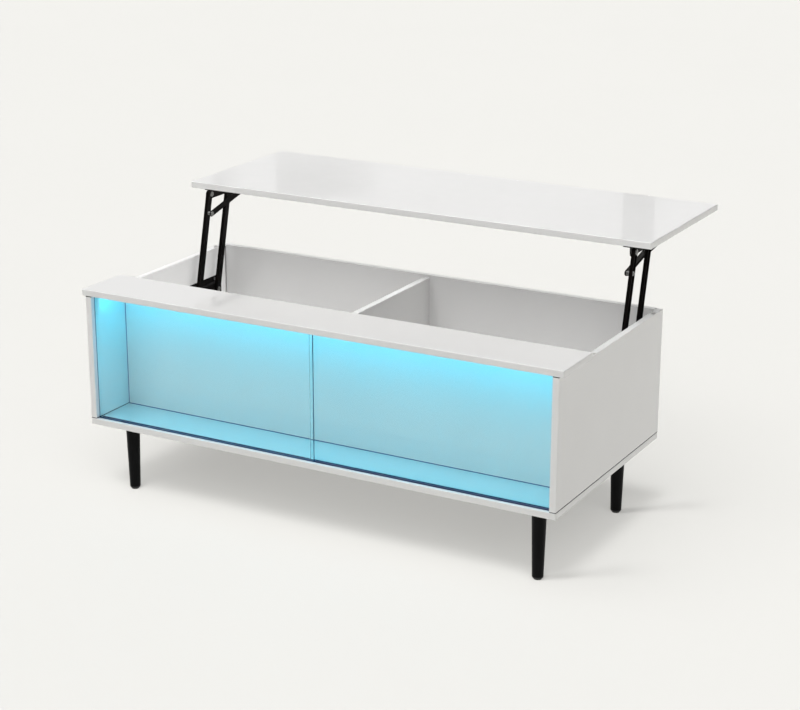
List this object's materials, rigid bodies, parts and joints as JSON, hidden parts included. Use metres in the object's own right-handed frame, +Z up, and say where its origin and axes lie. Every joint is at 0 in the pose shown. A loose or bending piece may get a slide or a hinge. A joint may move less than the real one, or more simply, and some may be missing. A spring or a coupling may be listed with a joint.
{
  "type": "lift top coffee table",
  "caption": "White gloss coffee table whose work top swings up and back on parallel arms over an open storage case, with a glass-fronted display niche lit from above.",
  "frame": {"origin": "on the floor, under the middle of the whole table with its top raised", "axes": "+X along the table to the viewer's right, +Y from front to back, +Z up"},
  "size_m": [1.2, 0.8496, 0.655],
  "materials": {
    "white_board": "high-gloss white lacquer on fibreboard",
    "black_leg": "satin black lacquer on turned wood",
    "black_steel": "satin black powder coat on pressed steel",
    "zinc_steel": "zinc plated",
    "rubber": "matt moulded rubber",
    "track_plastic": "extruded white plastic",
    "clear_glass": "clear float glass with ground edges",
    "aluminium": "satin anodised",
    "led_board": "white flexible board with light chips",
    "opal_plastic": "opal diffuser lit cyan",
    "white_cable": "white sheathed lead",
    "white_plastic": "fine textured moulding",
    "black_plastic": "moulded black plastic",
    "beech": "plain beech dowel"
  },
  "bodies": {
    "case": {"bottom_panel": "white_board", "left_side_panel": "white_board", "right_side_panel": "white_board", "back_panel": "white_board", "partition_panel": "white_board", "centre_divider": "white_board", "front_strip": "white_board", "front_left_leg": "black_leg", "front_right_leg": "black_leg", "rear_left_leg": "black_leg", "rear_right_leg": "black_leg", "leg_plates": "black_steel", "leg_plate_screws": "zinc_steel", "leg_studs": "zinc_steel", "foot_glides": "rubber", "lower_glass_track": "track_plastic", "upper_glass_track": "track_plastic", "led_channel": "aluminium", "led_strip": "led_board", "led_diffuser": "opal_plastic", "led_lead": "white_cable", "led_controller": "white_plastic", "dc_inlet": "black_plastic", "left_base_rail": "black_steel", "right_base_rail": "black_steel", "base_pivot_pins": "zinc_steel", "base_washers": "zinc_steel", "base_rail_screws": "zinc_steel", "case_screws": "zinc_steel", "board_dowels": "beech", "rim_bumpers": "white_plastic"},
    "left_front_arm": {"left_front_arm": "black_steel", "left_brace_rivet": "zinc_steel"},
    "right_front_arm": {"right_front_arm": "black_steel", "right_brace_rivet": "zinc_steel"},
    "left_rear_arm": {"left_rear_arm": "black_steel"},
    "right_rear_arm": {"right_rear_arm": "black_steel"},
    "left_brace": {"left_brace": "black_steel", "left_slide_pin": "zinc_steel"},
    "right_brace": {"right_brace": "black_steel", "right_slide_pin": "zinc_steel"},
    "lift_top": {"lift_top": "white_board", "left_top_bracket": "black_steel", "right_top_bracket": "black_steel", "top_pivot_pins": "zinc_steel", "top_washers": "zinc_steel", "bracket_screws": "zinc_steel"},
    "left_glass_door": {"left_glass_door": "clear_glass"},
    "right_glass_door": {"right_glass_door": "clear_glass"}
  },
  "joints": [
    {"name": "lift", "type": "hinge", "parent": "case", "child": "left_front_arm", "pos_m": [-0.5566, -0.02885, 0.3801], "axis": [1, 0, 0], "range_deg": [0, 83.59]},
    {"name": "right_front_swing", "type": "hinge", "parent": "case", "child": "right_front_arm", "pos_m": [0.5566, -0.02885, 0.3801], "axis": [1, 0, 0], "range_deg": [0, 83.59]},
    {"name": "left_rear_swing", "type": "hinge", "parent": "case", "child": "left_rear_arm", "pos_m": [-0.5566, 0.05285, 0.3801], "axis": [1, 0, 0], "range_deg": [0, 83.59]},
    {"name": "right_rear_swing", "type": "hinge", "parent": "case", "child": "right_rear_arm", "pos_m": [0.5566, 0.05285, 0.3801], "axis": [1, 0, 0], "range_deg": [0, 83.59]},
    {"name": "top_level", "type": "hinge", "parent": "left_front_arm", "child": "lift_top", "pos_m": [-0.5566, 0.0294, 0.6265], "axis": [1, 0, 0], "range_deg": [-83.59, 0]},
    {"name": "left_brace_fold", "type": "hinge", "parent": "left_front_arm", "child": "left_brace", "pos_m": [-0.5438, 0.01859, 0.58076], "axis": [1, 0, 0], "range_deg": [-91.95, 0]},
    {"name": "right_brace_fold", "type": "hinge", "parent": "right_front_arm", "child": "right_brace", "pos_m": [0.5438, 0.01859, 0.58076], "axis": [1, 0, 0], "range_deg": [-91.95, 0]},
    {"name": "left_door_slide", "type": "slide", "parent": "case", "child": "left_glass_door", "axis": [1, 0, 0], "range_m": [0, 0.565]},
    {"name": "right_door_slide", "type": "slide", "parent": "case", "child": "right_glass_door", "axis": [1, 0, 0], "range_m": [-0.565, 0]}
  ],
  "couplings": [
    {"joint": "right_front_swing", "follows": "lift", "ratio": 1},
    {"joint": "left_rear_swing", "follows": "lift", "ratio": 1},
    {"joint": "right_rear_swing", "follows": "lift", "ratio": 1},
    {"joint": "top_level", "follows": "lift", "ratio": -1},
    {"joint": "left_brace_fold", "follows": "lift", "ratio": -1.1},
    {"joint": "right_brace_fold", "follows": "lift", "ratio": -1.1}
  ]
}
